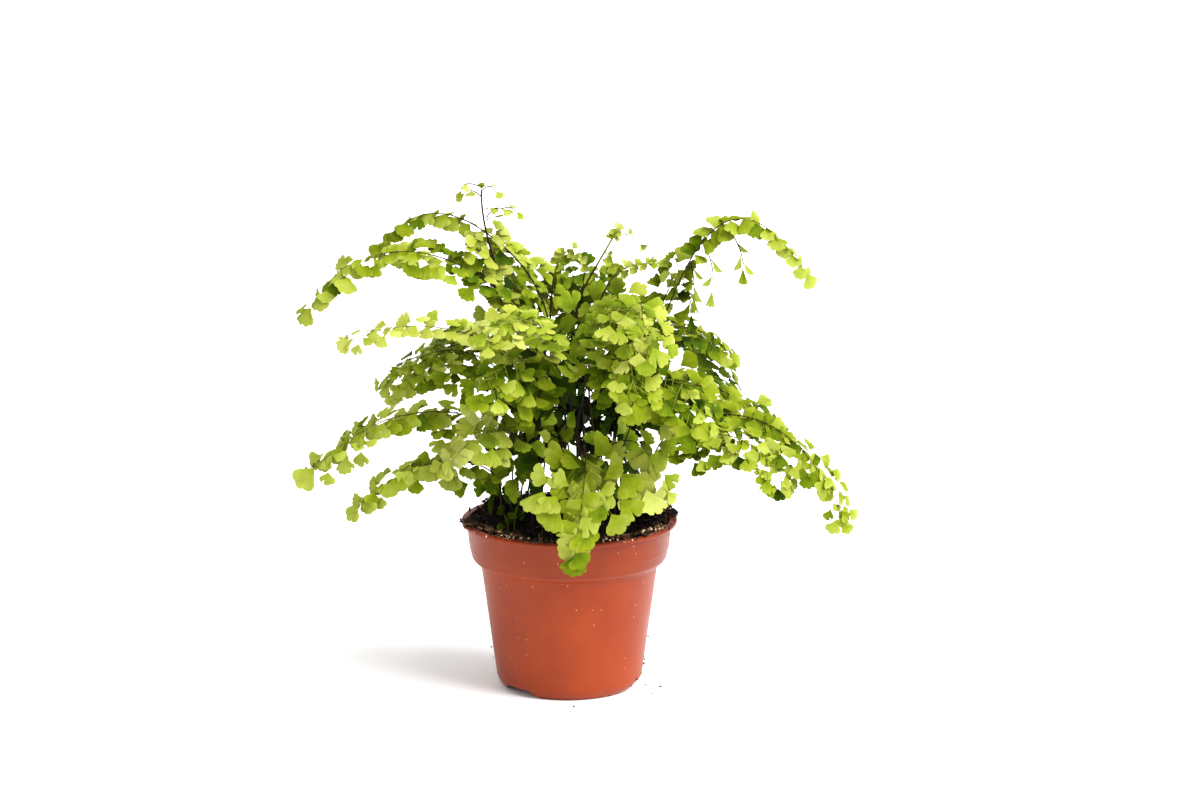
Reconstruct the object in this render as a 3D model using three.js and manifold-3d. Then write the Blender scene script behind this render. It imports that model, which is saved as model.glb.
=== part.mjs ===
// A maidenhair fern in a round plastic nursery pot.
// Millimetres, +Z up. The origin is the middle of the pot's base, on the surface it stands on.
// +X is to the right and -Y towards the side of the plant that is looked at.
import * as THREE from "three";
import { mergeVertices } from "three/addons/utils/BufferGeometryUtils.js";
import Module from "manifold-3d";

const wasm = await Module();
wasm.setup();

// Pot: a thin moulded cup with a wide collar, a rolled lip and a raised floor.
const potHeight = 102.2;
const lipRadius = 65;
const lipDepth = 2.4;
const collarTopRadius = 61.8;
const collarBottomRadius = 58.8;
const collarBottom = 78.6;
const collarRing = 85.5;
const collarRingRadius = 60.1;
const shoulder = 75.6;
const bodyTopRadius = 53.5;
const bodyBottomRadius = 44.2;
const baseCurve = 6.5;
const footRadius = 41;
const footInside = 37;
const padRadius = 14;
const floorRise = 3.5;
const floorThickness = 1.5;
const wall = 1.4;
const edge = 0.7;
const potSegments = 30;

// Drainage: notches under the foot and round holes in the raised floor.
const notchWidth = 15;
const notchDepth = 20;
const notchAngles = [-128, -8, 112];
const drainCount = 6;
const drainRadius = 3.5;
const drainCircle = 26;
const drainSides = 10;

// Soil: fills the pot to a little below the lip.
const soilLevel = 95;
const soilRings = [46, 30, 15];
const soilInset = 1;
const soilSegments = 20;
const soilBumpHeight = 1.3;
const soilBumpPitch = 17;
const soilBumpStretch = 1.3;
const soilBumpPhase = 0.7;

// Stems: a bare stipe stands in the soil, and carries the rachis of its frond.
const stipeSides = 3;
const stipeRadius = 0.7;
const stipeSteps = 5;
const stipeDepth = 14;
const stipeRise = 0.42;
const rachisSides = 4;
const rachisRadius = 0.75;
const rachisSteps = 5;

// Pinnae: thin flat sprays that stand off the rachis, of fan-shaped leaflets on one stalk.
const bladeThickness = 0.65;
const stalkWidth = 0.8;
const pinnaAngle = 0.98;
const pinnaAngleSpread = 0.4;
const pinnaDroop = 0.14;
const pinnaTilt = 0.8;
const pinnaTaper = 0.7;
const lengthSpread = 0.3;
const leafSizeSpread = 0.2;
const firstPinna = 0.06;
const lastPinna = 0.9;
const leafletSpread = 0.82;
const leafletAngle = 1.02;
const leafletPitch = 0.7;
const lastLeaflet = 0.9;
const sideLeafSize = 0.9;
const tipStalk = 3;
const tipDepth = 1;

// How a pinna turns aside where it would meet another frond: about its own stalk, up or down, and
// then with smaller leaflets.
const turnsAside = [0, 0.35, -0.35, 0.7, -0.7];
const liftsAside = [0, 0.3, -0.3, 0.55];
const sizesAside = [1, 0.85, 0.7];

// Touching pieces keep this gap.
const gap = 0.3;

// Joined stems run into each other by this much.
const overlap = 0.5;

// The margin of a fan from side to side: share of the half spread and share of the length.
const fanMargin = [
  [-1, 0.88],
  [-0.45, 1],
  [0, 0.88],
  [0.45, 1],
  [1, 0.88],
];

// Colours, with the greens of the fronds from young to shaded.
const plastic = { color: "#c9583a", roughness: 0.42 };
const peat = { color: "#2a1c12", roughness: 0.95 };
const wiry = { color: "#241812", roughness: 0.5 };
const greens = {
  young: { color: "#c3d25a", roughness: 0.6 },
  mid: { color: "#94b53a", roughness: 0.6 },
  deep: { color: "#6f9a1e", roughness: 0.6 },
};

// Each frond: where its stipe stands in the soil, three points on the arch of its rachis, the way
// its blades face, how many pinnae it has, how long the longest is, and the length of a leaflet.
const fronds = [
  {
    name: "left_arch",
    root: [-20, 2],
    arch: [[-41, -2, 242], [-92, -11, 260], [-149, -19, 231]],
    face: [0.1, -0.85, 0.5],
    pinnae: 9,
    reach: 9,
    leaf: 12,
    tone: "mid",
  },
  {
    name: "upper_left",
    root: [-17, 15],
    arch: [[-48, 8, 272], [-78, 6, 283], [-107, 2, 271]],
    face: [0, -0.9, 0.4],
    pinnae: 6,
    reach: 8,
    leaf: 11,
    tone: "mid",
  },
  {
    name: "spire",
    root: [-9, 8],
    arch: [[-39, 4, 244], [-46, 2, 265], [-51, 0, 297]],
    face: [0, -1, 0.15],
    pinnae: 5,
    reach: 13,
    leaf: 9,
    tone: "young",
  },
  {
    name: "left_light",
    root: [-27, -14],
    arch: [[-36, -30, 218], [-78, -45, 222], [-121, -52, 218]],
    face: [-0.1, -0.75, 0.65],
    pinnae: 6,
    reach: 9,
    leaf: 11,
    tone: "young",
  },
  {
    name: "left_shade",
    root: [-30, 16],
    arch: [[-51, 22, 184], [-78, 28, 200], [-105, 30, 180]],
    face: [-0.3, -0.7, 0.6],
    pinnae: 6,
    reach: 15,
    leaf: 14,
    tone: "deep",
  },
  {
    name: "left_long",
    root: [-35, -8],
    arch: [[-53, -20, 161], [-98, -40, 167], [-149, -57, 143]],
    face: [-0.1, -0.7, 0.7],
    pinnae: 9,
    reach: 10,
    leaf: 12,
    tone: "mid",
  },
  {
    name: "left_low",
    root: [-41, -20],
    arch: [[-53, -30, 144], [-86, -43, 146], [-122, -54, 126]],
    face: [-0.1, -0.8, 0.6],
    pinnae: 7,
    reach: 11,
    leaf: 12,
    tone: "deep",
  },
  {
    name: "front_hanging",
    root: [4, -32],
    arch: [[10, -50, 157], [9, -83, 139], [4, -94, 102]],
    face: [0, -1, 0.35],
    pinnae: 6,
    reach: 17,
    leaf: 14,
    tone: "mid",
  },
  {
    name: "front_right",
    root: [18, -33],
    arch: [[22, -45, 156], [40, -63, 155], [48, -76, 135]],
    face: [0.2, -0.9, 0.4],
    pinnae: 4,
    reach: 14,
    leaf: 14,
    tone: "young",
  },
  {
    name: "front_left",
    root: [-22, -33],
    arch: [[-30, -40, 162], [-47, -58, 169], [-67, -70, 155]],
    face: [-0.2, -0.9, 0.4],
    pinnae: 5,
    reach: 14,
    leaf: 13,
    tone: "young",
  },
  {
    name: "right_arch",
    root: [30, 0],
    arch: [[63, 0, 239], [96, -2, 279], [138, -4, 251]],
    face: [0, -0.9, 0.4],
    pinnae: 8,
    reach: 10,
    leaf: 12,
    tone: "mid",
  },
  {
    name: "right_fan",
    root: [25, 13],
    arch: [[52, 14, 221], [57, 16, 238], [64, 17, 257]],
    face: [0, -0.95, 0.3],
    pinnae: 5,
    reach: 16,
    leaf: 13,
    tone: "mid",
  },
  {
    name: "right_back",
    root: [34, 19],
    arch: [[52, 26, 211], [77, 29, 214], [98, 33, 204]],
    face: [0.2, -0.2, 0.95],
    pinnae: 5,
    reach: 12,
    leaf: 12,
    tone: "deep",
  },
  {
    name: "right_mid",
    root: [42, 6],
    arch: [[64, 12, 182], [99, 8, 181], [131, 5, 159]],
    face: [0.2, -0.6, 0.75],
    pinnae: 6,
    reach: 13,
    leaf: 13,
    tone: "deep",
  },
  {
    name: "right_long",
    root: [44, -8],
    arch: [[77, -16, 171], [122, -40, 165], [160, -58, 118]],
    face: [0.3, -0.75, 0.6],
    pinnae: 8,
    reach: 10,
    leaf: 12,
    tone: "mid",
  },
  {
    name: "right_low",
    root: [39, -24],
    arch: [[59, -30, 150], [94, -45, 160], [119, -56, 135]],
    face: [0.2, -0.8, 0.6],
    pinnae: 6,
    reach: 12,
    leaf: 12,
    tone: "mid",
  },
  {
    name: "front_light",
    root: [11, -17],
    arch: [[14, -30, 215], [29, -61, 242], [48, -84, 226]],
    face: [0.1, -0.85, 0.5],
    pinnae: 5,
    reach: 19,
    leaf: 14,
    tone: "young",
  },
  {
    name: "front_pendant",
    root: [7, -24],
    arch: [[14, -44, 198], [29, -74, 215], [40, -93, 198]],
    face: [0.1, -0.9, 0.4],
    pinnae: 5,
    reach: 15,
    leaf: 14,
    tone: "mid",
  },
  {
    name: "right_front",
    root: [27, -22],
    arch: [[43, -40, 181], [60, -65, 201], [76, -83, 184]],
    face: [0.2, -0.85, 0.5],
    pinnae: 5,
    reach: 19,
    leaf: 14,
    tone: "mid",
  },
  {
    name: "pale_front",
    root: [-7, -19],
    arch: [[-4, -36, 212], [-21, -64, 235], [-46, -86, 234]],
    face: [-0.1, -0.8, 0.6],
    pinnae: 5,
    reach: 18,
    leaf: 13,
    tone: "young",
  },
  {
    name: "left_front",
    root: [-12, -29],
    arch: [[-7, -34, 187], [-28, -59, 211], [-48, -79, 198]],
    face: [-0.1, -0.85, 0.5],
    pinnae: 5,
    reach: 19,
    leaf: 14,
    tone: "mid",
  },
  {
    name: "crown_left",
    root: [-8, 22],
    arch: [[-24, 24, 224], [-27, 21, 241], [-35, 17, 260]],
    face: [0, -0.9, 0.45],
    pinnae: 5,
    reach: 21,
    leaf: 14,
    tone: "mid",
  },
  {
    name: "crown_mid",
    root: [3, 26],
    arch: [[2, 32, 211], [7, 35, 228], [9, 38, 244]],
    face: [0, -0.85, 0.5],
    pinnae: 5,
    reach: 22,
    leaf: 14,
    tone: "deep",
  },
  {
    name: "crown_right",
    root: [17, 16],
    arch: [[28, 18, 202], [33, 13, 225], [45, 9, 240]],
    face: [0.1, -0.85, 0.5],
    pinnae: 5,
    reach: 21,
    leaf: 14,
    tone: "mid",
  },
  {
    name: "back_left",
    root: [-19, 31],
    arch: [[-42, 54, 208], [-66, 84, 216], [-94, 112, 180]],
    face: [-0.4, 0.4, 0.85],
    pinnae: 5,
    reach: 19,
    leaf: 16,
    tone: "deep",
  },
  {
    name: "back_mid",
    root: [5, 38],
    arch: [[6, 60, 214], [10, 96, 224], [14, 134, 190]],
    face: [0, 0.5, 0.85],
    pinnae: 5,
    reach: 19,
    leaf: 16,
    tone: "mid",
  },
  {
    name: "back_right",
    root: [27, 32],
    arch: [[46, 56, 198], [72, 86, 202], [100, 112, 164]],
    face: [0.4, 0.4, 0.85],
    pinnae: 5,
    reach: 19,
    leaf: 16,
    tone: "deep",
  },
  {
    name: "young_tall",
    root: [12, 4],
    arch: [[18, 4, 238], [24, 4, 258], [31, 4, 270]],
    face: [0, -1, 0.2],
    pinnae: 3,
    reach: 4,
    leaf: 7,
    tone: "young",
    onePiece: true,
  },
  {
    name: "young_bent",
    root: [20, -5],
    arch: [[24, -8, 233], [29, -10, 254], [46, -12, 257]],
    face: [0, -1, 0.2],
    pinnae: 3,
    reach: 4,
    leaf: 8,
    tone: "young",
    onePiece: true,
  },
  {
    name: "young_mid",
    root: [-1, 8],
    arch: [[-4, 8, 230], [0, 6, 250], [7, 4, 262]],
    face: [0, -1, 0.2],
    pinnae: 3,
    reach: 4,
    leaf: 9,
    tone: "young",
    onePiece: true,
  },
];

// A closed three.js geometry as a solid.
function solidOf(geometry) {
  const bare = geometry.clone();
  bare.deleteAttribute("normal");
  bare.deleteAttribute("uv");
  const merged = mergeVertices(bare);
  return new wasm.Manifold(
    new wasm.Mesh({
      numProp: 3,
      vertProperties: merged.attributes.position.array,
      triVerts: new Uint32Array(merged.index.array),
    }),
  );
}

// A solid as a named mesh with its own material.
function meshOf(name, solid, look) {
  const made = solid.getMesh();
  const geometry = new THREE.BufferGeometry();
  geometry.setAttribute("position", new THREE.BufferAttribute(made.vertProperties, 3));
  geometry.setIndex(new THREE.BufferAttribute(made.triVerts, 1));
  geometry.computeVertexNormals();
  const material = new THREE.MeshStandardMaterial({ ...look, metalness: 0 });
  const mesh = new THREE.Mesh(geometry, material);
  mesh.name = name;
  return mesh;
}

// All the solids of a list joined into one body, with any hollow that this closes filled.
function joined(solids) {
  const bodies = solids.reduce((sum, solid) => sum.add(solid)).decompose();
  return bodies.reduce((largest, body) => (body.volume() > largest.volume() ? body : largest));
}

// A number from 0 to 1 that is always the same for one place on one frond.
function draw(frondIndex, place) {
  let seed = 1 + frondIndex * 3571 + place * 131;
  for (let turn = 0; turn < 4; turn += 1) {
    seed = (seed * 16807) % 2147483647;
  }
  return seed / 2147483647;
}

// A factor near 1 from a drawn number, with the spread between its lowest and highest value.
function around(spread, drawn) {
  return 1 + spread * (drawn - 0.5);
}

// A lathe body about Z from a profile of [radius, height] points.
function turned(profile, segments) {
  const points = profile.map(([radius, height]) => new THREE.Vector2(radius, height));
  const geometry = new THREE.LatheGeometry(points, segments);
  return geometry.rotateX(Math.PI / 2);
}

// A stem with flat sides along a curve.
function tube(curve, radius, sides, steps) {
  const corners = [];
  for (let side = 0; side < sides; side += 1) {
    const turn = (side / sides) * 2 * Math.PI;
    corners.push(new THREE.Vector2(radius * Math.cos(turn), radius * Math.sin(turn)));
  }
  const section = new THREE.Shape(corners);
  const geometry = new THREE.ExtrudeGeometry(section, {
    steps,
    bevelEnabled: false,
    extrudePath: curve,
  });
  return solidOf(geometry);
}

// The outer profile of the pot from the middle of its base to the lip, then down inside it.
function potProfile() {
  const inner = (radius) => radius - wall;
  return [
    [0, 0],
    [padRadius, 0],
    [padRadius + floorRise / 2, floorRise],
    [footInside, floorRise],
    [footInside + edge, 0],
    [footRadius, 0],
    [bodyBottomRadius - edge, baseCurve / 3],
    [bodyBottomRadius, baseCurve],
    [bodyTopRadius, shoulder],
    [collarBottomRadius - 2 * edge, collarBottom - edge],
    [collarBottomRadius, collarBottom + edge],
    [collarRingRadius, collarRing],
    [collarTopRadius, potHeight - lipDepth],
    [lipRadius - edge, potHeight - lipDepth],
    [lipRadius, potHeight - lipDepth / 2],
    [lipRadius - edge, potHeight],
    [inner(collarTopRadius), potHeight],
    [inner(collarBottomRadius), collarBottom + wall],
    [inner(bodyTopRadius), shoulder],
    [inner(bodyBottomRadius), baseCurve],
    [footRadius - wall, floorRise + floorThickness],
    [0, floorRise + floorThickness],
  ];
}

// The pot, with its drainage cut through the foot and the raised floor.
function makePot() {
  let pot = solidOf(turned(potProfile(), potSegments));
  notchAngles.forEach((degrees) => {
    const notch = new THREE.BoxGeometry(notchDepth, notchWidth, 2 * floorRise);
    notch.translate(footInside + notchDepth / 2 - wall, 0, 0);
    notch.rotateZ(THREE.MathUtils.degToRad(degrees));
    pot = pot.subtract(solidOf(notch));
  });
  for (let i = 0; i < drainCount; i += 1) {
    const drain = new THREE.CylinderGeometry(drainRadius, drainRadius, 4 * floorRise, drainSides);
    drain.rotateX(Math.PI / 2);
    drain.translate(drainCircle, 0, floorRise);
    drain.rotateZ(((i + 0.5) / drainCount) * 2 * Math.PI);
    pot = pot.subtract(solidOf(drain));
  }
  return pot;
}

// The height of the soil's uneven top above its mean level.
function soilBump(x, y) {
  const across = Math.sin((2 * Math.PI * x) / soilBumpPitch + soilBumpPhase);
  const along = Math.cos((2 * Math.PI * y) / (soilBumpPitch * soilBumpStretch) + soilBumpPhase);
  return soilBumpHeight * across * along;
}

// The soil, which follows the inside of the pot and has a plain hole for each stipe.
function makeSoil(holes) {
  const inner = (radius) => radius - wall - gap;
  const levelRadius = THREE.MathUtils.mapLinear(
    soilLevel,
    collarBottom,
    potHeight,
    inner(collarBottomRadius),
    inner(collarTopRadius),
  );
  const bottom = floorRise + floorThickness + gap;
  const geometry = turned(
    [
      [0, bottom],
      [footRadius - wall - soilInset, bottom],
      [inner(bodyBottomRadius), baseCurve + soilInset],
      [inner(bodyTopRadius), shoulder + gap],
      [inner(collarBottomRadius), collarBottom + wall + soilInset],
      [levelRadius - gap, soilLevel],
      ...soilRings.map((radius) => [radius, soilLevel]),
      [0, soilLevel],
    ],
    soilSegments,
  );
  const position = geometry.attributes.position;
  for (let i = 0; i < position.count; i += 1) {
    if (position.getZ(i) > soilLevel - 1) {
      const bump = soilBump(position.getX(i), position.getY(i));
      position.setZ(i, soilLevel + Math.round(bump * 100) / 100);
    }
  }
  return holes.reduce((soil, hole) => soil.subtract(hole), solidOf(geometry));
}

// The curve of a rachis, through the three points of its arch.
function rachisCurve(frond) {
  const [start, middle, tip] = frond.arch.map((point) => new THREE.Vector3(...point));
  const control = middle.clone().multiplyScalar(2);
  control.addScaledVector(start, -0.5);
  control.addScaledVector(tip, -0.5);
  return new THREE.QuadraticBezierCurve3(start, control, tip);
}

// The curve of a stipe: straight up through the soil, then bent over into the rachis.
function stipeCurve(frond, rachis, shortfall) {
  const [x, y] = frond.root;
  const bottom = new THREE.Vector3(x, y, soilLevel - stipeDepth);
  const surface = new THREE.Vector3(x, y, soilLevel);
  const heading = rachis.getTangent(0);
  const top = rachis.v0.clone().addScaledVector(heading, -shortfall);
  const rise = surface.distanceTo(top) * stipeRise;
  const above = surface.clone().add(new THREE.Vector3(0, 0, rise));
  const below = top.clone().addScaledVector(heading, -rise);
  const path = new THREE.CurvePath();
  path.add(new THREE.LineCurve3(bottom, surface));
  path.add(new THREE.CubicBezierCurve3(surface, above, below, top));
  return path;
}

// The direction that a plane's first and second direction give at an angle.
function turnedTo(first, second, angle) {
  return first.clone().multiplyScalar(Math.cos(angle)).addScaledVector(second, Math.sin(angle));
}

// A point on the straight stretches that the tube of a rachis is made of.
function onTube(rachis, along) {
  const corners = rachis.getSpacedPoints(rachisSteps);
  const stretch = Math.min(Math.floor(along * rachisSteps), rachisSteps - 1);
  return corners[stretch].clone().lerp(corners[stretch + 1], along * rachisSteps - stretch);
}

// A pinna: where it leaves the rachis, which way it goes and faces, and how long its stalk is.
function pinnaAt(frond, index, rachis, number) {
  const share = number / (frond.pinnae - 1);
  const along = firstPinna + (lastPinna - firstPinna) * share;
  const forward = rachis.getTangentAt(along);
  const face = new THREE.Vector3(...frond.face);
  const plain = face.addScaledVector(forward, -face.dot(forward)).normalize();
  const across = forward.clone().cross(plain).multiplyScalar(number % 2 ? 1 : -1);
  const angle = pinnaAngle + (draw(index, number) - 0.5) * pinnaAngleSpread;
  const heading = turnedTo(forward, across, angle);
  heading.z -= pinnaDroop;
  heading.normalize();
  const sideways = heading.clone().cross(plain).normalize();
  const flat = sideways.clone().cross(heading);
  const normal = turnedTo(flat, sideways, (draw(index, number + 20) - 0.5) * pinnaTilt);
  const taper = 1 - pinnaTaper * share * share;
  const length = frond.reach * taper * around(lengthSpread, draw(index, number + 40));
  const leaf = frond.leaf * around(leafSizeSpread, draw(index, number + 60));
  const hand = draw(index, number + 80) < 0.5 ? 1 : -1;
  return { from: onTube(rachis, along), forward, heading, normal, length, leaf, hand };
}

// The margin of a fan whose root is at a height on the stalk, turned from it by an angle.
function fanPoints(height, angle, length) {
  return fanMargin.map(([turn, share]) => {
    const direction = angle - turn * leafletSpread;
    const reach = length * share;
    return new THREE.Vector2(reach * Math.sin(direction), height + reach * Math.cos(direction));
  });
}

// Where the edge of a fan, at an angle from the stalk, comes out of the side of the stalk.
function stalkPoint(height, angle) {
  const half = stalkWidth / 2;
  return new THREE.Vector2(half * Math.sign(angle), height + half / Math.tan(Math.abs(angle)));
}

// The leaflets on one side of a stalk, from the rachis to the end of the stalk.
function sideOutline(pinna, hand) {
  const count = Math.floor(pinna.length / (pinna.leaf * leafletPitch));
  const points = [new THREE.Vector2((hand * stalkWidth) / 2, 0)];
  for (let i = 0; i < count; i += 1) {
    const onThisSide = (i % 2 ? -pinna.hand : pinna.hand) === hand;
    if (onThisSide) {
      const height = (pinna.length * lastLeaflet * (i + 1)) / (count + 1);
      const angle = hand * leafletAngle;
      const outer = stalkPoint(height, angle + hand * leafletSpread);
      const inner = stalkPoint(height, angle - hand * leafletSpread);
      const margin = fanPoints(height, angle, pinna.leaf * sideLeafSize);
      points.push(outer, ...(hand > 0 ? margin.reverse() : margin).reverse(), inner);
    }
  }
  return points;
}

// The outline of a pinna: up one side of its stalk, round the leaflet at its end, and back.
function pinnaShape(pinna) {
  const right = sideOutline(pinna, 1);
  const left = sideOutline(pinna, -1);
  const end = fanPoints(pinna.length, 0, pinna.leaf);
  const neck = [leafletSpread, -leafletSpread].map((angle) => stalkPoint(pinna.length, angle));
  return new THREE.Shape([...right, neck[0], ...end, neck[1], ...left.reverse()]);
}

// The solid of a pinna, made larger all round by the growth.
function pinnaSolid(pinna, growth) {
  const grown = { ...pinna, leaf: pinna.leaf + growth };
  const depth = bladeThickness + 2 * growth;
  const geometry = new THREE.ExtrudeGeometry(pinnaShape(grown), { depth, bevelEnabled: false });
  geometry.translate(0, 0, -depth / 2);
  const side = pinna.heading.clone().cross(pinna.normal);
  const basis = new THREE.Matrix4().makeBasis(side, pinna.heading, pinna.normal);
  geometry.applyMatrix4(basis.setPosition(pinna.from));
  return solidOf(geometry);
}

// Everything placed so far, so that a pinna can turn aside from what grows there already.
const placed = [];

function place(owner, solid, isStem) {
  placed.push({ owner, solid, isStem, box: solid.boundingBox() });
}

function boxesMeet(a, b) {
  return [0, 1, 2].every((i) => a.min[i] < b.max[i] && b.min[i] < a.max[i]);
}

// Whether a pinna meets nothing but the stem that carries it.
function standsClear(owner, solid) {
  const box = solid.boundingBox();
  const near = placed.filter(
    (other) => !(other.owner === owner && other.isStem) && boxesMeet(box, other.box),
  );
  return near.every((other) => solid.intersect(other.solid).isEmpty());
}

// The solid of a pinna at the first turn and lift, and with the size, at which it stands clear.
function settledPinna(owner, pinna) {
  for (const size of sizesAside) {
    for (const lift of liftsAside) {
      for (const turn of turnsAside) {
        const heading = pinna.heading.clone().applyAxisAngle(pinna.forward, lift);
        const normal = pinna.normal.clone().applyAxisAngle(pinna.forward, lift);
        const leaf = pinna.leaf * size;
        const trial = { ...pinna, leaf, heading, normal: normal.applyAxisAngle(heading, turn) };
        if (standsClear(owner, pinnaSolid(trial, gap))) {
          return pinnaSolid(trial, 0);
        }
      }
    }
  }
  return null;
}

// The pinna that carries on from the tip of the rachis.
function tipPinna(frond, index, rachis) {
  const tip = pinnaAt(frond, index, rachis, frond.pinnae - 1);
  const heading = rachis.getTangent(1);
  const face = new THREE.Vector3(...frond.face);
  const normal = face.addScaledVector(heading, -face.dot(heading)).normalize();
  const from = rachis.v2.clone().addScaledVector(heading, -tipDepth);
  return { ...tip, from, heading, normal, forward: normal, length: tipStalk, leaf: frond.leaf };
}

// The pinnae of a frond, each on the rachis where it can stand clear of what is there.
function growPinnae(frond, index, rachis) {
  const pinnae = [tipPinna(frond, index, rachis)];
  for (let number = 0; number < frond.pinnae; number += 1) {
    pinnae.push(pinnaAt(frond, index, rachis, number));
  }
  const solids = [];
  pinnae.forEach((pinna) => {
    const solid = settledPinna(frond.name, pinna);
    if (solid) {
      solids.push(solid);
      place(frond.name, solid, false);
    }
  });
  return solids;
}

// Stems first, so that the pinnae can keep clear of all of them.
function makeStems(frond) {
  const rachis = rachisCurve(frond);
  const path = stipeCurve(frond, rachis, frond.onePiece ? -overlap : gap);
  const stipe = tube(path, stipeRadius, stipeSides, stipeSteps);
  const spine = tube(rachis, rachisRadius, rachisSides, rachisSteps);
  const hole = tube(path, stipeRadius + 2 * gap, stipeSides, stipeSteps);
  place(frond.name, stipe, true);
  place(frond.name, spine, true);
  return { rachis, stipe, spine, hole };
}

const pot = makePot();
place("pot", pot, true);
const stems = fronds.map(makeStems);
const soil = makeSoil(stems.map((stem) => stem.hole));
place("soil", soil, true);

const pottedFern = new THREE.Group();
pottedFern.add(meshOf("pot", pot, plastic));
pottedFern.add(meshOf("soil", soil, peat));
fronds.forEach((frond, index) => {
  const { rachis, stipe, spine } = stems[index];
  const blade = [spine, ...growPinnae(frond, index, rachis)];
  const green = greens[frond.tone];
  if (frond.onePiece) {
    pottedFern.add(meshOf("frond_" + frond.name, joined([stipe, ...blade]), green));
  } else {
    pottedFern.add(meshOf("stipe_" + frond.name, stipe, wiry));
    pottedFern.add(meshOf("frond_" + frond.name, joined(blade), green));
  }
});

export default pottedFern;
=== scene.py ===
import math

import bmesh
import bpy
import numpy as np
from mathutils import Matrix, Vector, noise


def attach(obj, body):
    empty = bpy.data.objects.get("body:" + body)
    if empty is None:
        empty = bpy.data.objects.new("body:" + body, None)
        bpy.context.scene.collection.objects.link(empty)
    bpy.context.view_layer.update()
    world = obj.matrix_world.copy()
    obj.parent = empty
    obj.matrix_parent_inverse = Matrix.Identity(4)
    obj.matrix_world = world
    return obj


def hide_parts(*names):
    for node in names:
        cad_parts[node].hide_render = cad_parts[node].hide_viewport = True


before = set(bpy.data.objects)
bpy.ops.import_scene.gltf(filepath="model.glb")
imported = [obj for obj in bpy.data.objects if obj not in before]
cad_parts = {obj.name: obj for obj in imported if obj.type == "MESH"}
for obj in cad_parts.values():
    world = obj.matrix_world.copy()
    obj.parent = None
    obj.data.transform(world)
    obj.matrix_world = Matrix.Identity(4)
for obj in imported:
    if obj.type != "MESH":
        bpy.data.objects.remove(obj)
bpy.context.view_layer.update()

# A maidenhair fern in a moulded nursery pot. Blender works in metres in the frame of the solids:
# the middle of the pot's base is the origin, +X is to the right and -Y towards the viewer.
# Lengths in the dictionaries are millimetres.
mm = 0.001


def linearColour(hexText):
    parts = [int(hexText[i:i + 2], 16) / 255 for i in (1, 3, 5)]
    return [p / 12.92 if p <= 0.04045 else ((p + 0.055) / 1.055) ** 2.4 for p in parts] + [1]


def addNode(tree, kind, inputs=(), stops=(), **settings):  # inputs by name or in their order
    node = tree.nodes.new("ShaderNode" + kind)
    for name, value in settings.items():
        setattr(node, name, value)
    for name, value in inputs.items() if isinstance(inputs, dict) else enumerate(inputs):
        if isinstance(value, bpy.types.Node):
            value = next(socket for socket in value.outputs if socket.enabled)
        if isinstance(value, bpy.types.NodeSocket):
            tree.links.new(value, node.inputs[name])
        else:
            node.inputs[name].default_value = value
    for i, (place, colour) in enumerate(stops):
        ramp = node.color_ramp.elements
        element = ramp[i] if i < 2 else ramp.new(place)
        element.position = place
        element.color = linearColour(colour)
    return node


def newMaterial(name):
    material = bpy.data.materials.new(name)
    material.use_nodes = True
    material.node_tree.nodes.clear()
    return material, material.node_tree


def newObject(name, data):
    added = bpy.data.objects.new(name, data)
    bpy.context.scene.collection.objects.link(added)
    return added


def unit(vector):
    return vector / np.linalg.norm(vector)


def addPiece(name, points, faces, material, replaced, sharp=None, places=None):
    mesh = bpy.data.meshes.new(name)
    mesh.from_pydata(points, [], faces)
    if places is not None:  # per point: what the material needs to know about where it is
        layer = mesh.attributes.new("place", "FLOAT_VECTOR", "POINT")
        layer.data.foreach_set("vector", np.asarray(places, np.float32).ravel())
    mesh.materials.append(material)
    mesh.shade_smooth()
    if sharp:
        mesh.set_sharp_from_angle(angle=math.radians(sharp))
    piece = newObject(name, mesh)
    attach(piece, "root")
    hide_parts(*replaced)
    return piece


# Camera: a long lens from the front, looking down by 12.5 degrees, as the photograph was taken.
cameraValues = {"place": (0.01854, -2.2, 0.663), "down": 0.2183, "lens": 113.04}
cameraData = bpy.data.cameras.new("camera")
cameraData.lens = cameraValues["lens"]
cameraData.sensor_width = 36
cameraData.clip_start = 0.05
camera = newObject("camera", cameraData)
camera.location = cameraValues["place"]
camera.rotation_euler = (math.pi / 2 - cameraValues["down"], 0, 0)
bpy.context.scene.camera = camera
bpy.context.scene.view_settings.view_transform = "Standard"
print("camera set")

# Light: a white surround, as in a light tent, a broad lamp high on the right and a faint, broader
# one beside it. Widths, heights and turns are in degrees: a turn of 0 is +X, -90 the viewer's side.
lightValues = {
    "surround": 1.0,
    "lamps": {
        "key": {"strength": 6.8, "width": 44, "height": 50, "turn": -28},
        "fill": {"strength": 0.7, "width": 70, "height": 40, "turn": -10},
    },
}
world = bpy.data.worlds.new("white surround")
bpy.context.scene.world = world
world.use_nodes = True
background = world.node_tree.nodes["Background"]
background.inputs["Color"].default_value = (1, 1, 1, 1)
background.inputs["Strength"].default_value = lightValues["surround"]
for lampName, values in lightValues["lamps"].items():
    lampData = bpy.data.lights.new(lampName, "SUN")
    lampData.energy = values["strength"]
    lampData.angle = math.radians(values["width"])
    lamp = newObject(lampName, lampData)
    lamp.rotation_euler = (0, math.radians(90 - values["height"]), math.radians(values["turn"]))
print("lights set")

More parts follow.
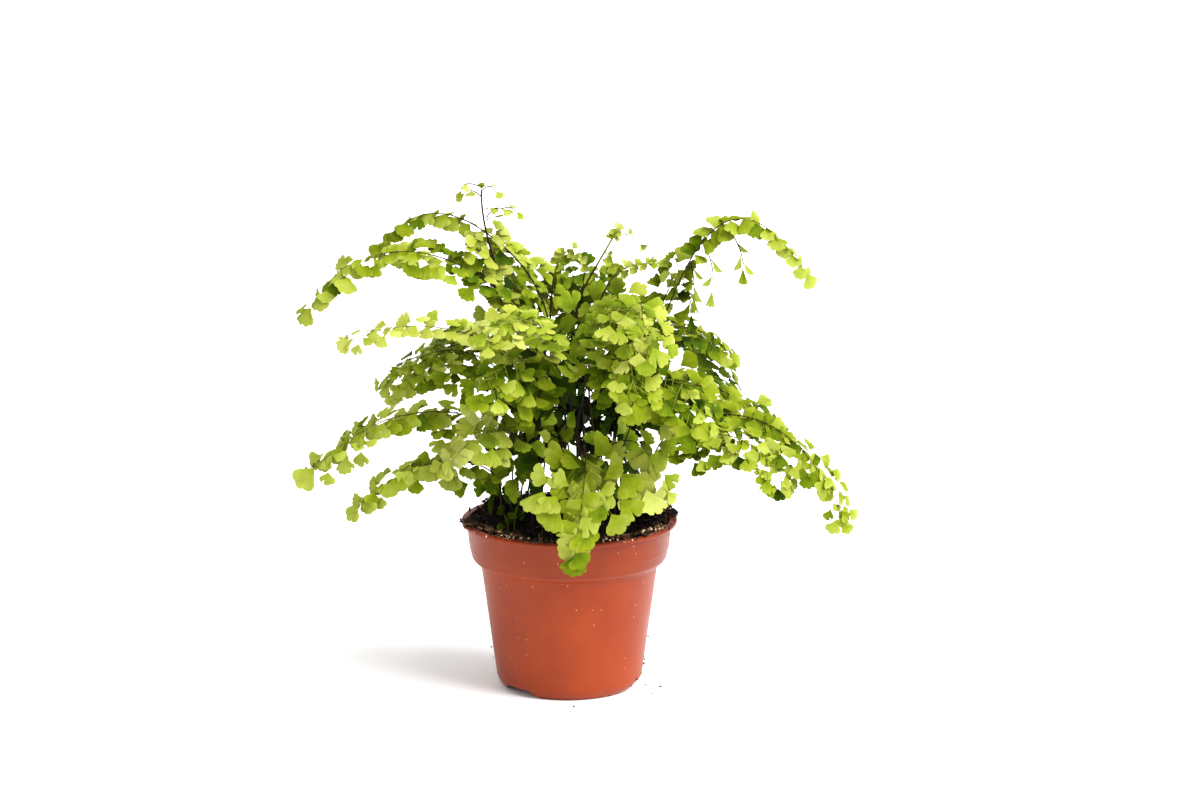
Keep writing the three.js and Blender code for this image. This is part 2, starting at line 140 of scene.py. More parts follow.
# Floor: a sheet of matt white card.
floorValues = {"half": 4.0, "drop": 0.05, "colour": "#F6F6F6"}
floorMaterial, tree = newMaterial("matt white card")
cardGrain = addNode(tree, "TexNoise", {"Scale": 900.0, "Detail": 2})
cardBump = addNode(tree, "Bump", {"Height": cardGrain, "Strength": 0.05, "Distance": 0.0002})
cardColour = linearColour(floorValues["colour"])
card = addNode(tree, "BsdfPrincipled", {"Base Color": cardColour, "Roughness": 0.6, "Normal": cardBump})
addNode(tree, "OutputMaterial", {"Surface": card})
floorMesh = bpy.data.meshes.new("floor")
half = floorValues["half"]
level = -floorValues["drop"] * mm
floorCorners = [(-half, -half, level), (half, -half, level), (half, half, level), (-half, half, level)]
floorMesh.from_pydata(floorCorners, [], [(0, 1, 2, 3)])
floorMesh.materials.append(floorMaterial)
floor = newObject("floor", floorMesh)
print("floor laid")

# Pot: polypropylene, injection moulded, so it is thin and even, satin rather than glossy, with a
# soft mottle from the flow of the melt and dust of peat and lime on it.
potValues = {
    "outline": [  # radius, height and rounding, from the middle of the base up to the lip and in
        (14, 0, 0.8), (15.8, 5, 0.8), (41.2, 5, 0.3), (40.9, 2.9, 1), (38.7, 0, 0.3), (39.9, 0, 0.5),
        (42.5, 2.4, 1.8), (43.8, 5.6, 0.2), (43.9, 5.8, 0.2), (44.2, 7.5, 1.2),
        (53.5, 75.6, 1.4), (57.2, 77.5, 2.4), (58.8, 79.6, 1.8), (59.95, 85.1, 0.2),
        (60.2, 85.5, 0.2), (61.8, 99.8, 0.6), (65, 99.8, 1.15), (65, 102.2, 1.15),
        (60.4, 102.2, 0.7), (57.4, 80, 2), (52.1, 75.6, 2), (43, 8.1, 1.5), (39.6, 6.6, 1),
    ],
    "floorTop": 6.6,
    "segments": 160,
    "roundingSteps": 5,
    "notchAngles": [-131, -11, 109],
    "notchSection": [  # along the foot and up: the roof slopes down at one end
        (-9.4, -1), (-9.1, 0.2), (-8.3, 2.6), (-5.6, 4.7), (9, 4.7), (11.2, 3.9), (18, 0.2),
        (19.2, -1),
    ],
    "notchReach": (30, 48),
    "notchLean": 0.87,
    "drains": 6,
    "drainRadius": 3.5,
    "drainCircle": 26,
    "drainSides": 24,
    "drainReach": (-2, 9),
    "sharp": 38,
    "dark": "#7B2805",
    "mid": "#812D06",
    "light": "#873208",
    "paleDust": "#D8B090",
    "peatDust": "#4A2A1C",
    "roughness": 0.38,
    # painted shade: the collar's colour is multiplied by this, for the fronds' shadow on it
    "collar": 0.86,
    "collarShadeEdge": (0.076, 0.081),  # in metres, where the body's colour turns to the collar's
    "dust": [("paleDust", 5, 0.62, 0.075), ("peatDust", 6, 0.74, 0.065)],  # spacing, share, size
}


def arc(start, control, end, t):
    return (1 - t) ** 2 * start + 2 * t * (1 - t) * control + t * t * end


def arcThrough(course, count):  # an arc through three points
    start, middle, end = (np.array(point, float) for point in course)
    return arc(start, 2 * middle - 0.5 * start - 0.5 * end, end, np.linspace(0, 1, count)[:, None])


def roundedOutline(corners, steps):
    points = []
    for i, (radius, height, rounding) in enumerate(corners):
        corner = np.array((radius, height), float)
        before = np.array(corners[i - 1][:2] if i else (0, corners[0][1]), float)
        after = np.array(corners[i + 1][:2] if i + 1 < len(corners) else (0, height), float)
        backLength = np.linalg.norm(before - corner)
        onLength = np.linalg.norm(after - corner)
        reach = min(rounding, 0.45 * backLength, 0.45 * onLength)  # roundings never meet
        start = corner + (before - corner) / backLength * reach
        end = corner + (after - corner) / onLength * reach
        points += [arc(start, corner, end, step / steps) for step in range(steps + 1)]
    return points


def band(low, high, count):  # the faces between two rings of points
    return [(low + k, low + (k + 1) % count, high + (k + 1) % count, high + k) for k in range(count)]


def lathe(outline, bottom, top, segments):
    points = [(0, 0, bottom), (0, 0, top)]
    for radius, height in outline:
        for k in range(segments):
            turn = 2 * math.pi * k / segments
            points.append((radius * math.cos(turn), radius * math.sin(turn), height))
    last = len(points) - segments
    faces = [(0, 2 + (k + 1) % segments, 2 + k) for k in range(segments)]
    for low in range(2, last, segments):
        faces += band(low, low + segments, segments)
    faces += [(1, last + k, last + (k + 1) % segments) for k in range(segments)]
    return np.array(points), faces


def prism(section, near, far, lean, turn):  # a section across and up, pushed out along a radius
    count = len(section)
    points = []
    for reach in (near, far):
        for across, up in section:
            aside = across - lean * (far - reach)
            points.append((
                reach * math.cos(turn) - aside * math.sin(turn),
                reach * math.sin(turn) + aside * math.cos(turn),
                up,
            ))
    faces = [tuple(range(count)), tuple(range(2 * count - 1, count - 1, -1))]
    return np.array(points), faces + band(count, 0, count)


def joinParts(parts):  # each part is its points, its faces and one place for all of its points
    points, faces, places, start = [], [], [], 0
    for partPoints, partFaces, place in parts:
        points.append(partPoints)
        faces += [[start + k for k in face] for face in partFaces]
        places.append(np.broadcast_to(place, (len(partPoints), 3)))
        start += len(partPoints)
    return np.concatenate(points) * mm, faces, np.concatenate(places)


def makePotMaterial():
    material, tree = newMaterial("injection moulded polypropylene")
    place = addNode(tree, "TexCoord").outputs["Object"]
    # Flow marks some 30 mm across.
    flow = addNode(tree, "TexNoise", {"Vector": place, "Scale": 1 / 0.03, "Detail": 2, "Roughness": 0.5})
    stops = [(0.3, potValues["dark"]), (0.72, potValues["light"]), (0.5, potValues["mid"])]
    colour = addNode(tree, "ValToRGB", [flow], stops)
    # Dust: specks half a millimetre across, one in a cell of some millimetres, in few of the cells.
    for dust, spacing, share, size in potValues["dust"]:
        cells = addNode(tree, "TexVoronoi", {"Vector": place, "Scale": 1000 / spacing, "Randomness": 1.0})
        near = addNode(tree, "Math", [cells, size], operation="LESS_THAN")
        chance = addNode(tree, "SeparateColor", {"Color": cells.outputs["Color"]})
        kept = addNode(tree, "Math", [chance, share], operation="GREATER_THAN")
        speck = addNode(tree, "Math", [near, kept], operation="MULTIPLY")
        faint = addNode(tree, "Math", [speck, 0.5], operation="MULTIPLY")
        dustColour = linearColour(potValues[dust])
        colour = addNode(tree, "Mix", {0: faint, 6: colour, 7: dustColour}, data_type="RGBA")
    # Painted shade: the collar's colour is made deeper, standing in for the fronds' shadow on it.
    height = addNode(tree, "SeparateXYZ", [place]).outputs["Z"]
    paintedCollarShade = addNode(tree, "MapRange", [height, *potValues["collarShadeEdge"], 1, potValues["collar"]])
    whole = addNode(tree, "Mix", {0: 1.0, 6: colour, 7: paintedCollarShade}, data_type="RGBA", blend_type="MULTIPLY")
    # The skin of the mould: a very fine grain, about 0.4 mm, and a gloss that follows the flow marks.
    grain = addNode(tree, "TexNoise", {"Vector": place, "Scale": 1 / 0.0004, "Detail": 2})
    rough = potValues["roughness"]
    gloss = addNode(tree, "MapRange", [flow, 0.3, 0.7, rough - 0.04, rough + 0.08])
    skin = addNode(tree, "Bump", {"Height": grain, "Strength": 0.08, "Distance": 0.0001})
    plastic = addNode(tree, "BsdfPrincipled", {
        "Base Color": whole, "Roughness": gloss, "IOR": 1.49, "Specular IOR Level": 0.19, "Normal": skin,
    })
    addNode(tree, "OutputMaterial", {"Surface": plastic})
    return material


def makeCutter():  # the notches under the foot and the drainage holes in the floor
    parts = []
    for degrees in potValues["notchAngles"]:
        turn = math.radians(degrees)
        made = prism(potValues["notchSection"], *potValues["notchReach"], potValues["notchLean"], turn)
        parts.append((*made, (0, 0, 0)))
    low, high = potValues["drainReach"]
    side = [(potValues["drainRadius"], low), (potValues["drainRadius"], high)]
    for i in range(potValues["drains"]):
        turn = (i + 0.5) / potValues["drains"] * 2 * math.pi
        centre = potValues["drainCircle"] * np.array((math.cos(turn), math.sin(turn), 0))
        hole, faces = lathe(side, low, high, potValues["drainSides"])
        parts.append((hole + centre, faces, (0, 0, 0)))
    points, faces = joinParts(parts)[:2]
    mesh = bpy.data.meshes.new("cutter")
    mesh.from_pydata(points, [], faces)
    outward = bmesh.new()
    outward.from_mesh(mesh)
    bmesh.ops.recalc_face_normals(outward, faces=outward.faces)
    outward.to_mesh(mesh)
    outward.free()
    return newObject("cutter", mesh)


def makePot():
    outline = roundedOutline(potValues["outline"], potValues["roundingSteps"])
    points, faces = lathe(outline, 0, potValues["floorTop"], potValues["segments"])
    pot = addPiece("nursery_pot", points * mm, faces, makePotMaterial(), ["pot"])
    cutter = makeCutter()
    cut = pot.modifiers.new("cut", "BOOLEAN")
    cut.operation = "DIFFERENCE"
    cut.solver = "EXACT"
    cut.object = cutter
    seen = pot.evaluated_get(bpy.context.evaluated_depsgraph_get())
    whole = bpy.data.meshes.new_from_object(seen)
    pot.modifiers.clear()
    pot.data = whole
    bpy.data.objects.remove(cutter)
    whole.shade_smooth()
    whole.set_sharp_from_angle(angle=math.radians(potValues["sharp"]))


makePot()
print("pot made")

# Soil: peat potting mix. It is nearly black and dull where it is moist, and carries brown moss
# fibres, crumbs and pale chips of bark and lime that lie thickest along the front of the rim.
soilValues = {
    "level": 95,
    "bottom": 7,
    "wall": [(39.2, 7), (42.4, 9.4), (51.5, 75.9), (56.8, 80.4), (59.2, 95)],
    "rings": 44,
    "segments": 132,
    "bank": 10,
    "bankStart": 36,
    "bankWidth": 23,
    "dip": 2.5,
    "mounds": [(-46, 40, 17, 5), (50, 26, 18, 3), (-14, -6, 34, -3)],  # x, y, radius, height
    "unevenness": [(3.4, 3, 15), (1.7, 9, 5.5), (0.8, 1, 2.1)],  # height, layer of noise, size
    "crumbs": 1500,
    "crumbReach": 58,
    "crumbSizes": [(0.9, 1.9), (0.35, 1.0), (0.35, 1.0), (0.35, 1.0)],  # every fourth is large
    "darkCrumbs": (1.2, 4.5),
    "frontCrumbs": (1.7, 3),
    "fibres": 950,
    "fibreReach": 57,
    "fibreLength": (3, 12),
    "rimFibreLength": (2, 6),
    "fibreRadius": (0.13, 0.34),
    "fibreTone": (0.15, 0.66),
    "frontFibreTone": (0.4, 0.88),
    "rim": (51, 60.5),
    "frontTurn": -1.5,
    "frontSpread": 0.9,
    "rimTufts": [  # turn and its spread, number of bits, reach out over the lip
        (-2.86, 0.07, 110, 2.2), (2.3, 0.2, 140, 0.5), (0.24, 0.13, 190, 2.6), (-1.2, 0.5, 70, 0.3),
        (-2.2, 0.3, 60, 0.3),
    ],
    "tuftBand": (57, 64.5),
    "tuftHeight": (101.8, 3.2),
    "tuftFrom": 65.2,
    "tuftFall": 1.8,
    "tuftCrumbs": (2.6, 2.6),
    "paleBits": 100,
    "paleBand": (56, 62.5),
    "paleHeight": 102.6,
    "hairs": [  # turn in degrees, upper end, length, swing and tone of a hair root on the collar
        (-138, 101, 5, -4, 1), (-55, 101.5, 6, 4, 0.97), (-24, 101, 6, 7, 0.2),
        (-52, 101, 3, -2, 0.1), (-61, 101, 2, 6, 0.9), (-17, 103, 9, 3, 0.85), (-150, 101, 4, 3, 0.9),
    ],
    "spilt": [
        (45.6, -3, 14), (45.5, -6, 16.5), (45.2, -2, 11), (43.9, -9, 7), (41, -17, 5.4), (37, -22, 2.6),
        (46, -12, 0.4), (55, -15, 0.4), (24, -33, 0.4), (50, -30, 0.3), (3, -56, 0.3), (47.7, -2, 28),
        (49.6, -3, 42), (-47.2, -4, 22), (-46, -3, 15),
    ],
    "moist": "#040201",
    "peat": "#110804",
    "loam": "#3A1C0D",
    "fibre": "#5E3B1C",
    "moss": "#A5784A",
    "chip": "#EFDCC2",
    "seed": 41,
}


def soilHeight(x, y):
    radius = math.hypot(x, y)
    rise = min(max((radius - soilValues["bankStart"]) / soilValues["bankWidth"], 0), 1)
    height = soilValues["level"] - soilValues["dip"] + soilValues["bank"] * rise * rise * (3 - 2 * rise)
    for moundX, moundY, reach, top in soilValues["mounds"]:
        height += top * math.exp(-((x - moundX) ** 2 + (y - moundY) ** 2) / (0.5 * reach * reach))
    for lift, layer, size in soilValues["unevenness"]:
        height += lift * noise.noise(Vector((x, y, layer)) / size)
    return height


def makeSoilMaterial():
    material, tree = newMaterial("moist peat")
    place = addNode(tree, "TexCoord").outputs["Object"]
    # Clumps of 5 mm down to grains of 0.5 mm.
    clumps = addNode(tree, "TexNoise", {
        "Vector": place, "Scale": 1 / 0.005, "Detail": 6, "Roughness": 0.65,
    })
    stops = [(0.42, soilValues["moist"]), (0.68, soilValues["peat"])]
    shade = addNode(tree, "ValToRGB", [clumps], stops)
    rough = addNode(tree, "Bump", {"Height": clumps, "Strength": 0.9, "Distance": 0.0012})
    peat = addNode(tree, "BsdfPrincipled", {
        "Base Color": shade, "Roughness": 0.95, "Specular IOR Level": 0.05, "Normal": rough,
    })
    addNode(tree, "OutputMaterial", {"Surface": peat})
    return material


def makeCrumbMaterial():
    material, tree = newMaterial("peat moss fibre and bark chip")
    place = addNode(tree, "Attribute", attribute_name="place")
    drawn = addNode(tree, "SeparateXYZ", [place.outputs["Vector"]])
    stops = [
        (0, soilValues["moist"]), (1, soilValues["chip"]), (0.42, soilValues["peat"]),
        (0.58, soilValues["loam"]), (0.75, soilValues["fibre"]), (0.9, soilValues["moss"]),
    ]
    kind = addNode(tree, "ValToRGB", [drawn], stops)
    where = addNode(tree, "TexCoord").outputs["Object"]
    flecks = addNode(tree, "TexNoise", {"Vector": where, "Scale": 1 / 0.0012, "Detail": 3})
    dapple = addNode(tree, "MapRange", [flecks, 0.3, 0.7, 0.6, 1.2])
    worn = addNode(tree, "Mix", {0: 1.0, 6: kind, 7: dapple}, data_type="RGBA", blend_type="MULTIPLY")
    bits = addNode(tree, "BsdfPrincipled", {
        "Base Color": worn, "Roughness": 0.85, "Specular IOR Level": 0.25,
    })
    addNode(tree, "OutputMaterial", {"Surface": bits})
    return material


def sweep(path, radii, sides):  # a tube along a path, with its two ends closed
    path = np.asarray(path, float)
    ways = np.gradient(path, axis=0)
    aside = np.cross(ways[0], (0.31, 0.52, 0.79))
    points = []
    for point, way, radius in zip(path, ways, radii):
        way = unit(way)
        aside = unit(aside - way * (aside @ way))
        other = np.cross(way, aside)
        for k in range(sides):
            turn = 2 * math.pi * k / sides
            points.append(point + radius * (math.cos(turn) * aside + math.sin(turn) * other))
    last = len(points) - sides
    faces = [tuple(range(sides - 1, -1, -1)), tuple(range(last, last + sides))]
    for low in range(0, last, sides):
        faces += band(low, low + sides, sides)
    return np.array(points), faces


def crumbShape():
    ball = bmesh.new()
    bmesh.ops.create_icosphere(ball, subdivisions=2, radius=1)
    points = np.array([v.co[:] for v in ball.verts])
    faces = [tuple(v.index for v in f.verts) for f in ball.faces]
    ball.free()
    return points, faces


def randomTurn(rng):  # three directions at right angles
    first = unit(rng.normal(size=3))
    second = unit(np.cross(first, rng.normal(size=3)))
    return np.array((first, second, np.cross(first, second)))


def makeCrumb(rng, at, size, shape):
    points, faces = shape
    lumpy = points * (1 + 0.5 * (rng.random(len(points)) - 0.5))[:, None]
    stretched = lumpy * size * rng.uniform((0.7, 0.5, 0.3), (1.4, 0.9, 0.7))
    return stretched @ randomTurn(rng) + at, faces


def makeFibre(rng, at, way, length, radius):
    bend = unit(np.cross(way, rng.normal(size=3))) * rng.uniform(0.15, 0.55)
    curl = unit(rng.normal(size=3)) * rng.uniform(0, 0.3)
    steps = np.linspace(-0.5, 0.5, 7)[:, None]
    path = at + length * (way * steps + bend * (steps * steps - 0.08) + curl * steps ** 3)
    return sweep(path, radius * np.array((0.5, 0.9, 1, 1, 0.95, 0.7, 0.35)), 4)


def soilSpot(rng, reach, rim, anyTurn):  # the radius and turn of a bit on the soil
    radius = rng.uniform(*soilValues["rim"]) if rim else reach * math.sqrt(rng.random())
    if anyTurn:
        return radius, rng.uniform(0, 2 * math.pi)
    return radius, soilValues["frontTurn"] + rng.normal() * soilValues["frontSpread"]


def makeBed():
    ringCount, segments = soilValues["rings"], soilValues["segments"]
    outline = list(soilValues["wall"])
    edge = outline[-1][0]
    outline += [(edge * (1 - (k + 1) / ringCount), soilValues["level"]) for k in range(ringCount - 1)]
    points, faces = lathe(outline, soilValues["bottom"], soilValues["level"], segments)
    for i, (x, y, z) in enumerate(points):
        if z > soilValues["level"] - 0.5:  # the surface takes its height from just inside it
            inside = min(math.hypot(x, y), edge - 0.1) / max(math.hypot(x, y), 0.001)
            points[i][2] = soilHeight(x * inside, y * inside)
    addPiece("peat_bed", points * mm, faces, makeSoilMaterial(), ["soil"])


def scatterBits(rng, shape, crumbs, fibres):
    for i in range(soilValues["crumbs"]):
        radius, turn = soilSpot(rng, soilValues["crumbReach"], i % 3 == 0, i % 2)
        x, y = radius * math.cos(turn), radius * math.sin(turn)
        size = rng.uniform(*soilValues["crumbSizes"][i % 4])
        tone = rng.beta(*soilValues["darkCrumbs" if radius < 50 or y > -16 else "frontCrumbs"])
        made = makeCrumb(rng, (x, y, soilHeight(x, y) + 0.3 * size), size, shape)
        crumbs.append((*made, (tone, 0, 0)))
    for i in range(soilValues["fibres"]):
        rim = i % 3 > 0
        radius, turn = soilSpot(rng, soilValues["fibreReach"], rim, i % 2)
        x, y = radius * math.cos(turn), radius * math.sin(turn)
        way = np.array((rng.normal(), rng.normal(), rng.normal() * 0.3))
        if rim:  # along the rim, as the mix was pressed in
            way = np.array((-math.sin(turn), math.cos(turn), 0)) + 0.45 * way
        within = radius < soilValues["fibreReach"]
        length = rng.uniform(*soilValues["fibreLength" if within else "rimFibreLength"])
        height = soilHeight(x, y) + rng.uniform(0.3, 1.4)
        thickness = rng.uniform(*soilValues["fibreRadius"])
        made = makeFibre(rng, (x, y, height), unit(way), length, thickness)
        tone = rng.uniform(*soilValues["frontFibreTone" if rim and y < -12 else "fibreTone"])
        fibres.append((*made, (tone, 0, 0)))


def dressRim(rng, shape, crumbs, fibres):
    # Tufts hang out over the lip, as where the plant was pressed into its pot.
    nearest, farthest = soilValues["tuftBand"]
    lowest, rise = soilValues["tuftHeight"]
    for angle, spread, count, reachOut in soilValues["rimTufts"]:
        for i in range(count):
            turn = angle + rng.normal() * spread
            radius = rng.uniform(nearest, farthest + reachOut * rng.random())
            x, y = radius * math.cos(turn), radius * math.sin(turn)
            height = lowest + rng.uniform(0, rise)
            height -= max(radius - soilValues["tuftFrom"], 0) * soilValues["tuftFall"]
            if i % 2:
                made = makeCrumb(rng, (x, y, height), rng.uniform(0.5, 1.5), shape)
                crumbs.append((*made, (rng.beta(*soilValues["tuftCrumbs"]), 0, 0)))
            else:
                way = unit(np.array((math.cos(turn), math.sin(turn), rng.normal() * 0.5)))
                way = unit(way + 0.7 * rng.normal(size=3))
                made = makeFibre(rng, (x, y, height), way, rng.uniform(2, 7), rng.uniform(0.12, 0.3))
                fibres.append((*made, (rng.uniform(0.2, 0.85), 0, 0)))
    for i in range(soilValues["paleBits"]):  # mostly along the front, in clusters of nine
        turn = soilValues["frontTurn"] + 1.15 * math.sin(0.9 * (i // 9) + 1) + rng.normal() * 0.06
        radius = rng.uniform(*soilValues["paleBand"])
        height = soilValues["paleHeight"] + rng.uniform(0, 1)
        at = (radius * math.cos(turn), radius * math.sin(turn), height)
        crumbs.append((*makeCrumb(rng, at, rng.uniform(0.35, 1.0), shape), (rng.uniform(0.88, 1), 0, 0)))
    for turn, upper, length, swing, tone in soilValues["hairs"]:
        t = np.linspace(0, 1, 12)
        angle = math.radians(turn) + swing * t / 62
        radius = 61.4 + 3.9 * np.exp(-(t * length / 2.2) ** 2) + 0.6 * np.sin(5 * t + turn) * t
        path = np.stack((radius * np.cos(angle), radius * np.sin(angle), upper + 1.4 - length * t), -1)
        fibres.append((*sweep(path, np.linspace(0.38, 0.22, 12), 5), (tone, 0, 0)))
    for x, y, z in soilValues["spilt"]:
        made = makeCrumb(rng, (x, y, z + 0.75), rng.uniform(0.45, 0.95), shape)
        crumbs.append((*made, (rng.uniform(0.3, 0.5), 0, 0)))


def makeSoil():
    makeBed()
    rng = np.random.default_rng(soilValues["seed"])
    crumbs, fibres = [], []
    shape = crumbShape()
    scatterBits(rng, shape, crumbs, fibres)
    dressRim(rng, shape, crumbs, fibres)
    crumbMaterial = makeCrumbMaterial()
    points, faces, places = joinParts(crumbs)
    addPiece("peat_crumbs", points, faces, crumbMaterial, ["soil"], 50, places)
    points, faces, places = joinParts(fibres)
    addPiece("moss_fibres", points, faces, crumbMaterial, ["soil"], None, places)


makeSoil()
print("soil made")

# Leaflets: thin soft blades without gloss, fan-shaped, cut at the outer margin into three to five
# lobes with small round teeth. Light comes through them, so that they glow yellow green.
leafValues = {
    "columns": 29,
    "rows": (0.04, 0.3, 0.56, 0.8, 1.0),
    "thickness": 0.2,
    "spread": (0.82, 0.98),
    "sideFall": (0.22, 0.45),
    "lobes": (3, 6),
    "lobeShift": 0.12,
    "lobeRound": 0.065,
    "cutDepth": (0.015, 0.08),
    "deepCut": (0.18, 0.34),
    "deepShare": 0.12,
    "cutShift": 0.03,
    "tooth": 0.013,
    "toothPitch": 2.5,
    "cornerFrom": 0.82,
    "cornerFall": 0.26,
    "cup": (-0.05, 0.11),
    "droop": (0.0, 0.2),
    "ripple": (0.0, 0.028),
    "seeThrough": 0.22,
    "tones": {  # material, shade, dark, middle, light, and the light that comes through
        "young": ("young leaf blade", "#51600D", "#768A1B", "#99A03C", "#A9B05A", "#A5A83C"),
        "mid": ("grown leaf blade", "#1C2D01", "#485E04", "#7A8716", "#9AA443", "#8E971E"),
        "deep": ("shaded leaf blade", "#101D01", "#284002", "#4E6208", "#738322", "#6D7D11"),
    },
}


def makeLeafMaterial(name, shade, dark, middle, light, through):
    material, tree = newMaterial(name)
    place = addNode(tree, "Attribute", attribute_name="place")
    across, out, ageAndShade = addNode(tree, "SeparateXYZ", [place.outputs["Vector"]]).outputs
    where = addNode(tree, "TexCoord").outputs["Object"]
    # A leaflet's tone from its age and painted shade, with soft patches some 7 mm across and a paler outer
    # part.
    patches = addNode(tree, "TexNoise", {
        "Vector": where, "Scale": 1 / 0.007, "Detail": 3, "Roughness": 0.6,
    })
    patchy = addNode(tree, "MapRange", [patches, 0.25, 0.75, -0.16, 0.16])
    outer = addNode(tree, "MapRange", [out, 0.05, 1, -0.14, 0.16])
    inner = addNode(tree, "Math", [ageAndShade, patchy], operation="ADD")
    level = addNode(tree, "Math", [inner, outer], operation="ADD")
    tint = addNode(tree, "ValToRGB", [level], [(0, shade), (1, light), (0.28, dark), (0.64, middle)])
    # Veins fork outwards from the stalk: drawn 1.1 mm apart, coarser than life so that they show.
    pulses = []
    for forks in (7, 14):
        turns = addNode(tree, "Math", [across, forks * math.pi], operation="MULTIPLY")
        pulses.append(addNode(tree, "Math", [turns], operation="SINE"))
    forked = addNode(tree, "Mix", {0: out, 2: pulses[0], 3: pulses[1]}, data_type="FLOAT")
    vein = addNode(tree, "Bump", {"Height": forked, "Strength": 0.25, "Distance": 0.0001})
    veinTint = addNode(tree, "MapRange", [forked, -1, 1, 0.94, 1.04])
    blade = addNode(tree, "Mix", {0: 1.0, 6: tint, 7: veinTint}, data_type="RGBA", blend_type="MULTIPLY")
    glow = addNode(tree, "Mix", {0: 0.6, 6: blade, 7: linearColour(through)}, data_type="RGBA")
    face = addNode(tree, "BsdfPrincipled", {
        "Base Color": blade, "Roughness": 0.6, "IOR": 1.42, "Specular IOR Level": 0.04, "Normal": vein,
    })
    lit = addNode(tree, "BsdfTranslucent", {"Color": glow})
    both = addNode(tree, "MixShader", [leafValues["seeThrough"], face, lit])
    addNode(tree, "OutputMaterial", {"Surface": both})
    return material


leafMaterials = {tone: makeLeafMaterial(*values) for tone, values in leafValues["tones"].items()}


def leafletFaces():
    columns, rows = leafValues["columns"], len(leafValues["rows"])
    under = columns * rows
    faces = []
    for r in range(rows - 1):
        for c in range(columns - 1):
            a = r * columns + c
            faces.append((a, a + 1, a + 1 + columns, a + columns))
            faces.append((a + under, a + columns + under, a + 1 + columns + under, a + 1 + under))
    last = (rows - 1) * columns
    ring = list(range(columns)) + [r * columns + columns - 1 for r in range(1, rows)]
    ring += [last + c for c in range(columns - 2, -1, -1)]
    ring += [r * columns for r in range(rows - 2, 0, -1)]
    for a, b in zip(ring, ring[1:] + ring[:1]):
        faces.append((b, a, a + under, b + under))
    return np.array(faces)


def leafletPoints(rng, leaf):
    columns = leafValues["columns"]
    across = np.linspace(-1, 1, columns)
    spread = rng.uniform(*leafValues["spread"]) * leaf["width"]
    lobes = int(rng.integers(*leafValues["lobes"]))
    lobeSpot = (across * 0.5 + 0.5) * lobes + rng.uniform(-1, 1) * leafValues["lobeShift"]
    margin = 1 - rng.uniform(*leafValues["sideFall"]) * (1 - np.cos(across * spread))
    margin -= leafValues["lobeRound"] * (1 - np.abs(np.sin(math.pi * lobeSpot)) ** 0.6)
    for k in range(1, lobes):
        at = int(round((k / lobes + rng.normal() * leafValues["cutShift"]) * (columns - 1)))
        deep = rng.random() < leafValues["deepShare"]
        depth = rng.uniform(*leafValues["deepCut" if deep else "cutDepth"])
        margin[at] -= depth
        margin[at - 1:at + 2:2] -= 0.2 * depth  # the cut's two shoulders
    teeth = np.cos(np.arange(columns) * leafValues["toothPitch"] + rng.uniform(0, 6))
    margin += leafValues["tooth"] * teeth
    margin *= 1 + leaf["skew"] * across
    corner = np.clip((np.abs(across) - leafValues["cornerFrom"]) / (1 - leafValues["cornerFrom"]), 0, 1)
    margin *= 1 - leafValues["cornerFall"] * corner ** 2
    out = np.array(leafValues["rows"])[:, None]
    angle = across * spread * (0.8 + 0.2 * out)
    reach = leaf["length"] * out * (1 + (margin - 1) * out ** 1.2)
    cup, droop, ripple = (rng.uniform(*leafValues[k]) for k in ("cup", "droop", "ripple"))
    cup += leaf["curl"]
    wave = np.sin(across * rng.uniform(4, 8) + rng.uniform(0, 6))
    height = leaf["length"] * (cup * across ** 2 * out - droop * out ** 2 + ripple * wave * out ** 3)
    upper = np.stack((reach * np.sin(angle), reach * np.cos(angle), height), -1)
    lower = upper - np.array((0, 0, 1)) * leafValues["thickness"] * (1 - 0.35 * out[..., None] ** 2)
    points = np.concatenate((upper.reshape(-1, 3), lower.reshape(-1, 3)))
    turned = points @ np.array((np.cross(leaf["way"], leaf["normal"]), leaf["way"], leaf["normal"]))
    place = np.stack(np.broadcast_arrays(across, out, leaf["ageAndShade"]), -1).reshape(-1, 3)
    return turned + leaf["root"], np.concatenate((place, place))


def addLeaves(name, rng, leaves, tone, replaced):
    faces = leafletFaces()
    sets = [leafletPoints(rng, leaf) for leaf in leaves]
    count = len(sets[0][0])
    points = np.concatenate([s[0] for s in sets]) * mm
    places = np.concatenate([s[1] for s in sets])
    allFaces = (faces[None] + count * np.arange(len(sets))[:, None, None]).reshape(-1, 4)
    addPiece(name, points, allFaces.tolist(), leafMaterials[tone], replaced, 40, places)


# Stems: hard, wiry and polished, near black with a red-brown cast, as thin as wire. They turn
# green towards the tips of young fronds.
stemValues = {
    "foot": 0.6,
    "top": 0.42,
    "pinnaStalk": 0.2,
    "leafStalk": 0.13,
    "stipeRise": 0.42,
    "buried": 8,
    "dark": "#120906",
    "brown": "#2E1A0C",
    "green": "#7C8A26",
}


def makeStemMaterial():
    material, tree = newMaterial("polished wiry stem")
    place = addNode(tree, "Attribute", attribute_name="place")
    green = addNode(tree, "SeparateXYZ", [place.outputs["Vector"]])
    where = addNode(tree, "TexCoord").outputs["Object"]
    streaks = addNode(tree, "TexNoise", {"Vector": where, "Scale": 1 / 0.004, "Detail": 2})
    vary = addNode(tree, "MapRange", [streaks, 0.3, 0.7, -0.12, 0.12])
    level = addNode(tree, "Math", [green, vary], operation="ADD")
    stops = [(0.1, stemValues["dark"]), (0.95, stemValues["green"]), (0.45, stemValues["brown"])]
    tint = addNode(tree, "ValToRGB", [level], stops)
    stem = addNode(tree, "BsdfPrincipled", {
        "Base Color": tint, "Roughness": 0.45, "IOR": 1.5, "Specular IOR Level": 0.08,
    })
    addNode(tree, "OutputMaterial", {"Surface": stem})
    return material


stemMaterial = makeStemMaterial()

